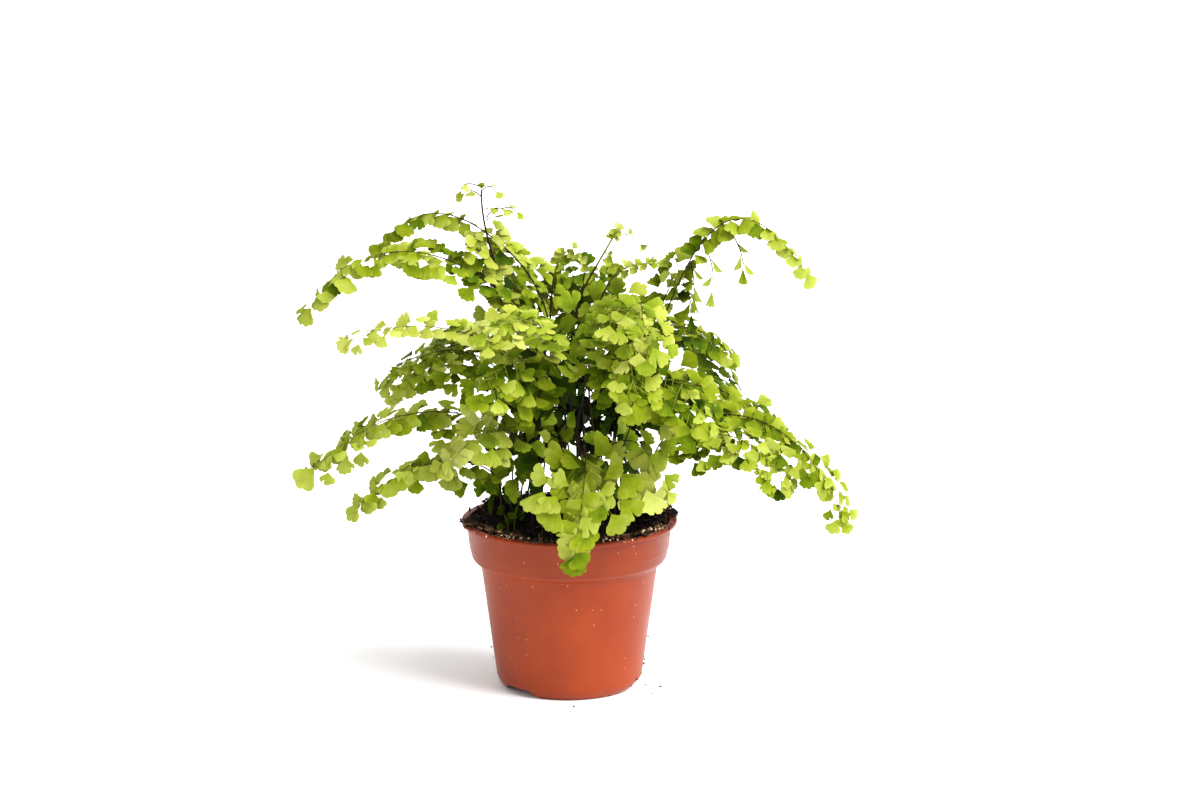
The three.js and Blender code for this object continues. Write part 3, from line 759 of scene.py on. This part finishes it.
# Fronds. A row says what frondFields names: where the frond stands in the soil, three points that
# its arch passes, the way its blades face, the number of side stalks, the share of these that
# carry one leaflet only, the reach of the others and the length of a leaflet. What ends the row
# takes the place of frondDefaults: the side stalks' sag, the number of side stalks low on the
# stipe, paleness, the shares of the arch where side stalks begin and end and where only single
# leaflets follow, how much leaflets and side stalks shorten towards the tip, the last leaflet's
# size, the tip's radius, the tone and, for some, how green the tip is.
frondDefaults = {
    "sag": 0.2,
    "low": 0,
    # Paleness is partly the frond's own colour and partly painted light and shade: it raises the tone of
    # some fronds and lowers it on others, to give each part of the plant its brightness.
    "pale": 0,
    "bare": 0.03,
    "last": 0.985,
    "narrow": 1,
    "shrink": 0.25,
    "taper": 0.5,
    "tipLeaf": 1.1,
    "tipRadius": 0.2,
    "tone": "mid",
}
frondFields = ("root", "arch", "face", "pinnae", "single", "reach", "leaf")
frondValues = {
    "left_arch": (
        (-20, 2), ((-41, -2, 242), (-101, -11, 267), (-151, -19, 236)), (0.05, -0.48, 0.86),
        38, 0.6, 11, 11, {"sag": 0, "low": 8, "pale": 0.1},
    ),
    "upper_left": (
        (-17, 15), ((-50, 6, 276), (-82, 6, 287), (-109, 2, 271)), (0, -0.5, 0.85),
        17, 1, 8, 10.3, {"sag": 0.45, "low": 9, "pale": 0.05},
    ),
    "spire": (
        (-9, 8), ((-40, 4, 246), (-49, 2, 277), (-51.5, 0, 302)), (0, -0.4, 0.9),
        14, 0.3, 17, 10,
        {
            "sag": 0, "low": 2, "shrink": 0.3, "last": 0.46, "tipLeaf": 0.4, "green": 0.35,
            "tipRadius": 0.6, "tone": "young",
        },
    ),
    "left_light": (
        (-27, -14), ((-37, -30, 212), (-83, -45, 229), (-125, -52, 222)), (-0.05, -0.6, 0.8),
        24, 0.6, 10, 9, {"sag": 0.1, "low": 6, "pale": 0.08, "tone": "young"},
    ),
    "left_shade": (
        (-30, 16), ((-48, 22, 193), (-78, 28, 199), (-108, 30, 181)), (-0.15, -0.5, 0.85),
        30, 0.05, 20, 10.5, {"sag": 0.3, "low": 6, "pale": 0.12},
    ),
    "left_long": (
        (-35, -8), ((-55, -20, 169), (-103, -40, 173), (-147, -56, 148)), (-0.1, -0.55, 0.82),
        34, 0.35, 17, 11.5, {"sag": 0.4, "low": 5, "tipLeaf": 1.35, "pale": 0.26},
    ),
    "left_low": (
        (-41, -20), ((-53, -30, 142), (-86, -43, 145), (-122, -54, 125)), (-0.1, -0.6, 0.8),
        26, 0.5, 12, 10.5, {"low": 3, "pale": 0.28},
    ),
    "front_hanging": (
        (4, -32), ((10, -50, 157), (9, -82, 140), (4, -93, 104)), (0, -0.95, 0.4),
        21, 0.05, 29, 15,
        {"sag": 0.15, "low": 3, "taper": 0.6, "pale": 0.16, "narrow": 0.45, "tipLeaf": 0.85},
    ),
    "front_right": (
        (18, -33), ((25, -45, 158), (42, -60, 161), (53, -70, 140)), (0.15, -0.8, 0.6),
        11, 0.3, 10, 12, {"low": 2, "pale": -0.02, "green": 0.85, "bare": 0.4, "tone": "young"},
    ),
    "front_left": (
        (-22, -33), ((-30, -40, 162), (-47, -58, 169), (-67, -70, 155)), (-0.15, -0.8, 0.6),
        18, 0.3, 13, 11, {"low": 2, "pale": 0.02, "green": 0.85, "tone": "young"},
    ),
    "right_arch": (
        (30, 0), ((63, 0, 241), (99, -2, 285), (140, -4, 253)), (0.15, -0.44, 0.88),
        25, 0.8, 10, 10.5, {"sag": 0.1, "low": 1, "pale": 0.24, "bare": 0.2, "tipLeaf": 0.9, "narrow": 0.2},
    ),
    "right_fan": (
        (25, 13), ((52, 14, 222), (59, 16, 238), (65, 17, 254)), (0, -0.4, 0.9),
        13, 0.1, 10, 9.5, {"sag": 0.1, "low": 3},
    ),
    "right_back": (
        (34, 19), ((50, 26, 210), (73, 29, 213), (97, 32, 198)), (0.15, -0.4, 0.9),
        20, 0.3, 12, 9.5, {"low": 4, "pale": -0.1},
    ),
    "right_mid": (
        (42, 6), ((64, 12, 181), (96, 8, 177), (126, 5, 155)), (0.15, -0.5, 0.85),
        26, 0.2, 13, 10, {"sag": 0.15, "low": 6, "pale": -0.05},
    ),
    "right_long": (
        (44, -8), ((78, -16, 168), (126, -40, 164), (162, -58, 116)), (0.2, -0.65, 0.7),
        38, 0.55, 15, 10, {"sag": 0.12, "low": 3, "pale": 0.08, "tipLeaf": 0.8},
    ),
    "right_low": (
        (39, -24), ((59, -30, 152), (96, -45, 163), (125, -55, 139)), (0.15, -0.65, 0.75),
        26, 0.4, 14, 10, {"sag": 0.25, "bare": 0.05, "pale": 0.05},
    ),
    "front_light": (
        (11, -17), ((14, -30, 215), (29, -61, 242), (48, -84, 226)), (0.1, -0.65, 0.75),
        20, 0.1, 21, 12, {"pale": -0.26, "tone": "young"},
    ),
    "front_pendant": (
        (7, -24), ((14, -44, 198), (29, -74, 215), (40, -93, 198)), (0.1, -0.75, 0.6),
        18, 0.1, 18, 12, {"sag": 0.3, "low": 1, "pale": -0.15},
    ),
    "right_front": (
        (27, -22), ((43, -40, 181), (60, -65, 201), (76, -83, 184)), (0.15, -0.7, 0.7),
        20, 0.1, 20, 11.5, {"sag": 0.3, "low": 2, "pale": -0.12},
    ),
    "pale_front": (
        (-7, -19), ((-4, -36, 212), (-21, -64, 235), (-46, -86, 234)), (-0.1, -0.6, 0.8),
        19, 0.1, 18, 10.5, {"pale": -0.13, "tone": "young"},
    ),
    "left_front": (
        (-12, -29), ((-7, -34, 187), (-28, -59, 211), (-48, -79, 198)), (-0.1, -0.7, 0.7),
        20, 0.1, 20, 11.5, {"sag": 0.3, "low": 1, "pale": -0.12},
    ),
    "crown_left": (
        (-8, 22), ((-24, 24, 222), (-28, 21, 241), (-38, 17, 260)), (0, -0.35, 0.93),
        20, 0, 21, 10.5, {"low": 8, "pale": 0.12},
    ),
    "crown_mid": (
        (3, 26), ((2, 32, 209), (7, 35, 230), (9, 38, 246)), (0, -0.35, 0.93),
        20, 0, 22, 10.5, {"low": 10, "pale": 0.1, "tone": "deep"},
    ),
    "crown_right": (
        (17, 16), ((28, 18, 196), (33, 13, 214), (44, 9, 225)), (0, -0.35, 0.93),
        20, 0, 21, 10.5, {"low": 9, "pale": 0.06},
    ),
    "back_left": (
        (-19, 31), ((-42, 54, 200), (-66, 84, 204), (-94, 112, 172)), (-0.4, 0.4, 0.85),
        19, 0.1, 19, 11.5, {"low": 9, "tone": "deep"},
    ),
    "back_mid": (
        (5, 38), ((6, 60, 214), (10, 96, 224), (14, 134, 190)), (0, 0.5, 0.85),
        19, 0.1, 19, 11.5, {"low": 10, "tone": "deep"},
    ),
    "back_right": (
        (27, 32), ((46, 56, 198), (72, 86, 202), (100, 112, 164)), (0.4, 0.4, 0.85),
        19, 0.1, 19, 11.5, {"low": 9, "tone": "deep"},
    ),
    "young_tall": (
        (12, 4), ((12, 4, 248), (20, 4, 262), (28, 4, 276)), (0, -1, 0.2),
        4, 1, 4, 5, {"sag": 0.1, "green": 0.95, "bare": 0.85, "tipRadius": 0.6, "tone": "young"},
    ),
    "young_bent": (
        (20, -5), ((19, -8, 237), (29, -10, 254), (46, -12, 260)), (0, -1, 0.2),
        7, 1, 4, 5.5, {"sag": 0.1, "green": 0.95, "bare": 0.5, "tipRadius": 0.6, "tone": "young"},
    ),
    "young_mid": (
        (-1, 8), ((-10, 8, 240), (-5, 6, 259), (5, 4, 261)), (0, -1, 0.2),
        7, 1, 4, 5.5, {"sag": 0.1, "green": 0.95, "bare": 0.5, "tipRadius": 0.6, "tone": "young"},
    ),
}

# Sprigs that stand out in the photograph, by the frond that each grows on: three points of its
# course, the number of leaflets beside the last one, their length and their paleness.
sprigValues = {
    "spire": [
        (((-52, 0, 304), (-60, -1, 306), (-63.5, -2, 302.5)), 1, 4.5, 1),
        (((-51.5, 0, 298), (-57, -2, 302), (-61, -3, 301)), 1, 6, 0.8),
        (((-51, 0, 302), (-47, -2, 304.5), (-43, -4, 302.5)), 1, 4.8, 0.9),
        (((-48.8, 1, 285), (-44.5, 0, 290.3), (-40, -2, 291.2)), 0, 6.5, 0.8),
        (((-40, -2, 291), (-35, -3, 292), (-31, -4, 290)), 1, 4.8, 0.8),
        (((-49.8, 1, 290), (-48.6, 0.5, 290.8), (-47.5, 0, 291)), 0, 5, 0.2),
        (((-48.7, 1, 284), (-47.5, 1, 284.5), (-46.3, 1, 285)), 0, 6.5, 0.2),
    ],
    "front_light": [
        (((34, -84, 226), (37, -86, 210), (39, -88, 194)), 6, 12, 0.8),
    ],
    "right_arch": [
        (((98, -2, 274), (102, -7, 265), (103, -10, 258)), 3, 9, 0.3),
        (((81, -2, 269), (85, -8, 256), (85, -12, 245)), 2, 9, 0.3),
        (((72, -2, 259), (74, -6, 250), (74, -10, 241)), 3, 9, 0.2),
    ],
    "right_fan": [
        (((68, 14, 244), (72, 6, 236), (73, 0, 228)), 2, 9, 0.2),
    ],
    "front_right": [
        (((40, -66, 146), (43, -70, 142), (45, -73, 139)), 0, 14.5, 2.2),
    ],
    # painted shade: a paleness of -1.8 darkens the sprigs at the soil, under the fronds
    "left_low": [
        (((-36, -20, 99), (-37, -24, 106), (-38, -26, 110)), 2, 6, -1.8),
        (((-33, -18, 99), (-32, -20, 108), (-31, -22, 114)), 2, 6, -1.8),
        (((-16, -30, 98), (-16, -34, 104), (-16, -37, 107)), 1, 7, -1.8),
        (((-27, 0, 100), (-28, -4, 112), (-30, -8, 120)), 2, 8, -1.8),
    ],
    "young_tall": [
        (((28, 4, 272), (35, 2, 275), (42, 0, 270)), 1, 4, 1),
        (((22, 4, 264), (23, 0, 262), (24, -3, 257)), 2, 3.5, 1),
    ],
    "young_bent": [
        (((31, -10, 255), (30, -12, 259), (27, -14, 261)), 1, 5.5, 1),
    ],
    "young_mid": [
        (((-5, 6, 259), (2, 2, 266), (8, -2, 259)), 4, 5, 1),
    ],
}
sprigShapes = {
    "full": {"width": 0.9, "spread": 1, "green": None},
    "slim": {"on": ("right_arch", "right_fan"), "width": 0.34, "spread": 0.45, "green": 0.2},  # edge on
}

# How a frond grows: lengths are in millimetres, angles in radians, and the other values are shares.
growthValues = {
    "seed": 700,
    "archSteps": 60,
    "stipePoints": 30,
    "pinnaAngle": (0.8, 1.25),
    "pinnaTilt": 0.4,
    "pinnaBend": 0.16,
    "pinnaFall": 0.12,
    "pinnaStart": (0.5, -0.8),  # above the rachis and back into it
    "pinnaBare": 0.35,
    "singleStalk": (0.02, 0.16),
    "singleWidth": 1.2,
    "lowReach": (0.4, 0.97),
    "lowLength": 16,
    "leafPitch": 0.46,
    "leafAngle": (0.95, 1.25),
    "leafSizes": (0.85, 1.1),
    "sideWidth": 0.83,
    "sideSkew": 0.32,
    "leafTilt": 0.2,
    "leafDroop": 0.16,
    "curlYoung": 0.5,
    "stalkLeast": 0.2,
    "stalkOverlap": 0.4,
    "greenTips": {"young": 0.9, "mid": 0.72, "deep": 0.5},
    "ageAndShade": {"middle": 0.42, "alongFrond": 0.25, "spread": 0.22, "inside": 0.88, "most": 0.86},
    # painted shade: leaflets near the plant's middle and below its top are darkened, by up to the inside
    # value above
    "inside": {"middle": 10, "reach": 80, "top": 225, "fade": 60},  # leaflets in there are darker
}


def along(points, count):  # points evenly spaced along a line through them
    steps = np.linalg.norm(np.diff(points, axis=0), axis=1)
    lengths = np.concatenate(([0], np.cumsum(steps)))
    even = np.linspace(0, lengths[-1], count)
    return np.stack([np.interp(even, lengths, points[:, k]) for k in range(3)], -1)


def stipeOf(frond, arch):
    x, y = frond["root"]
    foot = np.array((x, y, soilValues["level"]), float)
    top, way = arch[0], unit(arch[1] - arch[0])
    rise = np.linalg.norm(top - foot) * stemValues["stipeRise"]
    t = np.linspace(0, 1, 60)[:, None]
    above, below = foot + (0, 0, rise), top - way * rise
    bent = (1 - t) ** 3 * foot + 3 * t * (1 - t) ** 2 * above + 3 * t * t * (1 - t) * below + t ** 3 * top
    path = np.concatenate(([foot - (0, 0, stemValues["buried"])], bent))
    return along(path, growthValues["stipePoints"])


def turnedTo(first, second, angle):
    return first * math.cos(angle) + second * math.sin(angle)


def growFrond(name, index):
    *fixed, own = frondValues[name]
    frond = {**frondDefaults, **dict(zip(frondFields, fixed)), **own}
    grow = growthValues
    rng = np.random.default_rng(grow["seed"] + index)
    young = name.startswith("young")
    steps = grow["archSteps"]
    arch = along(arcThrough(frond["arch"], 90), steps + 1)
    stipe = stipeOf(frond, arch)
    face = np.array(frond["face"], float)
    greenTip = frond.get("green", grow["greenTips"][frond["tone"]])
    leaves, stalks = [], []

    def addLeaf(root, way, normal, length, share, stalk=0.06, width=1.0, skew=0.0):
        way = unit(way)
        sideways = unit(np.cross(way, normal))
        tilt, sink = rng.normal(size=2) * (grow["leafTilt"], grow["leafDroop"])
        normal = turnedTo(unit(np.cross(sideways, way)), sideways, tilt)
        way = unit(turnedTo(way, normal, -abs(sink)))
        normal = unit(normal - way * (normal @ way))
        hold = length * stalk + grow["stalkLeast"]
        path = np.array([root, root + way * hold * 0.5, root + way * (hold + grow["stalkOverlap"])])
        stalks.append((*sweep(path, (stemValues["leafStalk"],) * 3, 4), (min(greenTip + 0.1, 1), 0, 0)))
        # Painted shade: a leaflet near the middle of the plant and below its top gets a darker tone. One
        # further along its frond gets a paler tone, as it is younger.
        within, ageAndShade = grow["inside"], grow["ageAndShade"]
        inside = min(max(1 - math.hypot(root[0], root[1] - within["middle"]) / within["reach"], 0), 1)
        inside *= min(max((within["top"] - root[2]) / within["fade"], 0), 1)
        tone = ageAndShade["middle"] + ageAndShade["alongFrond"] * share + ageAndShade["spread"] * rng.normal()
        tone += frond["pale"] - ageAndShade["inside"] * inside
        leaves.append({
            "root": root + way * hold, "way": way, "normal": normal, "length": length,
            "width": width, "skew": skew, "curl": grow["curlYoung"] if young else 0,
            "ageAndShade": min(tone, ageAndShade["most"]),
        })

    def addPinna(origin, forward, facing, hand, length, leaf, share):
        plain = unit(facing - forward * (facing @ forward))
        side = np.cross(forward, plain) * hand
        heading = turnedTo(forward, side, rng.uniform(*grow["pinnaAngle"]))
        heading[2] -= frond["sag"] * rng.uniform(0.6, 1.4)
        heading = unit(heading)
        lit = facing - heading * (facing @ heading)
        sideways = unit(np.cross(heading, plain + 2 * lit))
        tilt = rng.uniform(-0.5, 0.5) * grow["pinnaTilt"]
        normal = turnedTo(np.cross(sideways, heading), sideways, tilt)
        t = np.linspace(0, 1, 9)[:, None]
        above, ahead = grow["pinnaStart"]
        bend = forward * grow["pinnaBend"] * length - np.array((0, 0, grow["pinnaFall"])) * length
        path = origin + above * normal + ahead * heading + heading * t * length + bend * t * t
        stalks.append((*sweep(path, pinnaRadii, 4), (min(greenTip * (0.5 + share), 1), 0, 0)))
        count = int(round((length - grow["pinnaBare"] * leaf) / (leaf * grow["leafPitch"])))
        hand = 1 if rng.random() < 0.5 else -1
        for k in range(count):
            spot = (k + 0.55) / (count + 0.35)
            hand = -hand
            turn = rng.uniform(*grow["leafAngle"])
            size = leaf * (0.98 - 0.2 * spot) * rng.uniform(*grow["leafSizes"])
            way = turnedTo(heading, np.cross(heading, normal) * hand, turn)
            skew = grow["sideSkew"] * hand
            root = path[int(round(spot * 8))]
            addLeaf(root, way, normal, size, share, width=grow["sideWidth"], skew=skew)
        width = grow["singleWidth"] if count < 1 else 1
        addLeaf(path[-1], path[-1] - path[-2], normal, leaf, share, stalk=0.05, width=width)

    def addSprig(course, leaflets, leaf, share):
        path = arcThrough(course, 9)
        green = greenTip if shape["green"] is None else shape["green"]
        stalks.append((*sweep(path, 2 * pinnaRadii, 5), (green, 0, 0)))
        for k in range(leaflets):
            spot = (k + 0.6) / (leaflets + 0.2)
            hand = 1 if k % 2 else -1
            heading = unit(path[min(int(spot * 8) + 1, 8)] - path[int(spot * 8)])
            turn = rng.uniform(*grow["leafAngle"]) * shape["spread"]
            way = turnedTo(heading, unit(np.cross(heading, face)) * hand, turn)
            size = leaf * rng.uniform(*grow["leafSizes"])
            addLeaf(path[int(spot * 8)], way, face, size, share, width=shape["width"], skew=0.2 * hand)
        last = 1.15 * leaf
        addLeaf(path[-1], path[-1] - path[-2], face, last, share, width=shape["width"])

    pinnaRadii = np.linspace(stemValues["pinnaStalk"], stemValues["leafStalk"], 9)
    stemTop = max(stemValues["top"], frond["tipRadius"])
    rachisRadii = np.linspace(stemTop, frond["tipRadius"], len(arch))
    for k in range(0, steps, 10):  # in lengths, so that the stem can turn green on its way
        green = greenTip * (0.3 + 0.7 * (k + 5) / steps)
        stalks.append((*sweep(arch[k:k + 11], rachisRadii[k:k + 11], 6), (green, 0, 0)))
    ways = np.gradient(arch, axis=0)
    for n in range(frond["pinnae"]):
        share = n / (frond["pinnae"] - 1)
        step = int((frond["bare"] + (frond["last"] - frond["bare"]) * share) * steps)
        leaf = frond["leaf"] * rng.uniform(0.85, 1.12) * (1 - frond["shrink"] * share * share)
        if rng.random() < frond["single"] or share > frond["narrow"]:
            length = leaf * rng.uniform(*grow["singleStalk"])
        else:
            length = frond["reach"] * (1 - frond["taper"] * share) * rng.uniform(0.8, 1.2)
        addPinna(arch[step], unit(ways[step]), face, 1 if n % 2 else -1, length, leaf, share)
    addLeaf(arch[-1], arch[-1] - arch[-2], face, frond["leaf"] * frond["tipLeaf"], 1, stalk=0.1)
    lowWays = np.gradient(stipe, axis=0)
    lowest, highest = grow["lowReach"]
    # Side stalks low on the stipe sit inside the plant. Their share runs below zero, which is painted shade
    # that darkens their leaflets and stalks.
    for n in range(frond["low"]):
        share = (n + rng.uniform(0.2, 0.8)) / frond["low"]
        step = int((lowest + (highest - lowest) * share) * (grow["stipePoints"] - 1))
        facing = unit(face + np.array((1, 0.3, 0)) * rng.normal() * 0.5)
        length = max(frond["reach"], grow["lowLength"]) * rng.uniform(0.8, 1.25)
        leaf = frond["leaf"] * rng.uniform(0.9, 1.12)
        hand = 1 if n % 2 else -1
        addPinna(stipe[step], unit(lowWays[step]), facing, hand, length, leaf, 0.7 * share - 1)
    shape = sprigShapes["slim" if name in sprigShapes["slim"]["on"] else "full"]
    for sprig in sprigValues.get(name, ()):
        addSprig(*sprig)

    stipeRadii = np.linspace(stemValues["foot"], stemTop, len(stipe))
    node = "frond_" + name
    if young:
        stalks.append((*sweep(stipe, stipeRadii, 8), (0.35, 0, 0)))
    else:
        points, faces, places = joinParts([(*sweep(stipe, stipeRadii, 8), (0.05, 0, 0))])
        addPiece("stem_" + name, points, faces, stemMaterial, ["stipe_" + name], 50, places)
    points, faces, places = joinParts(stalks)
    addPiece("stalks_" + name, points, faces, stemMaterial, [node], 50, places)
    addLeaves("leaves_" + name, rng, leaves, frond["tone"], [node])
    return len(leaves)


leafTotal = sum(growFrond(name, index) for index, name in enumerate(frondValues))
print("fronds grown,", leafTotal, "leaflets")
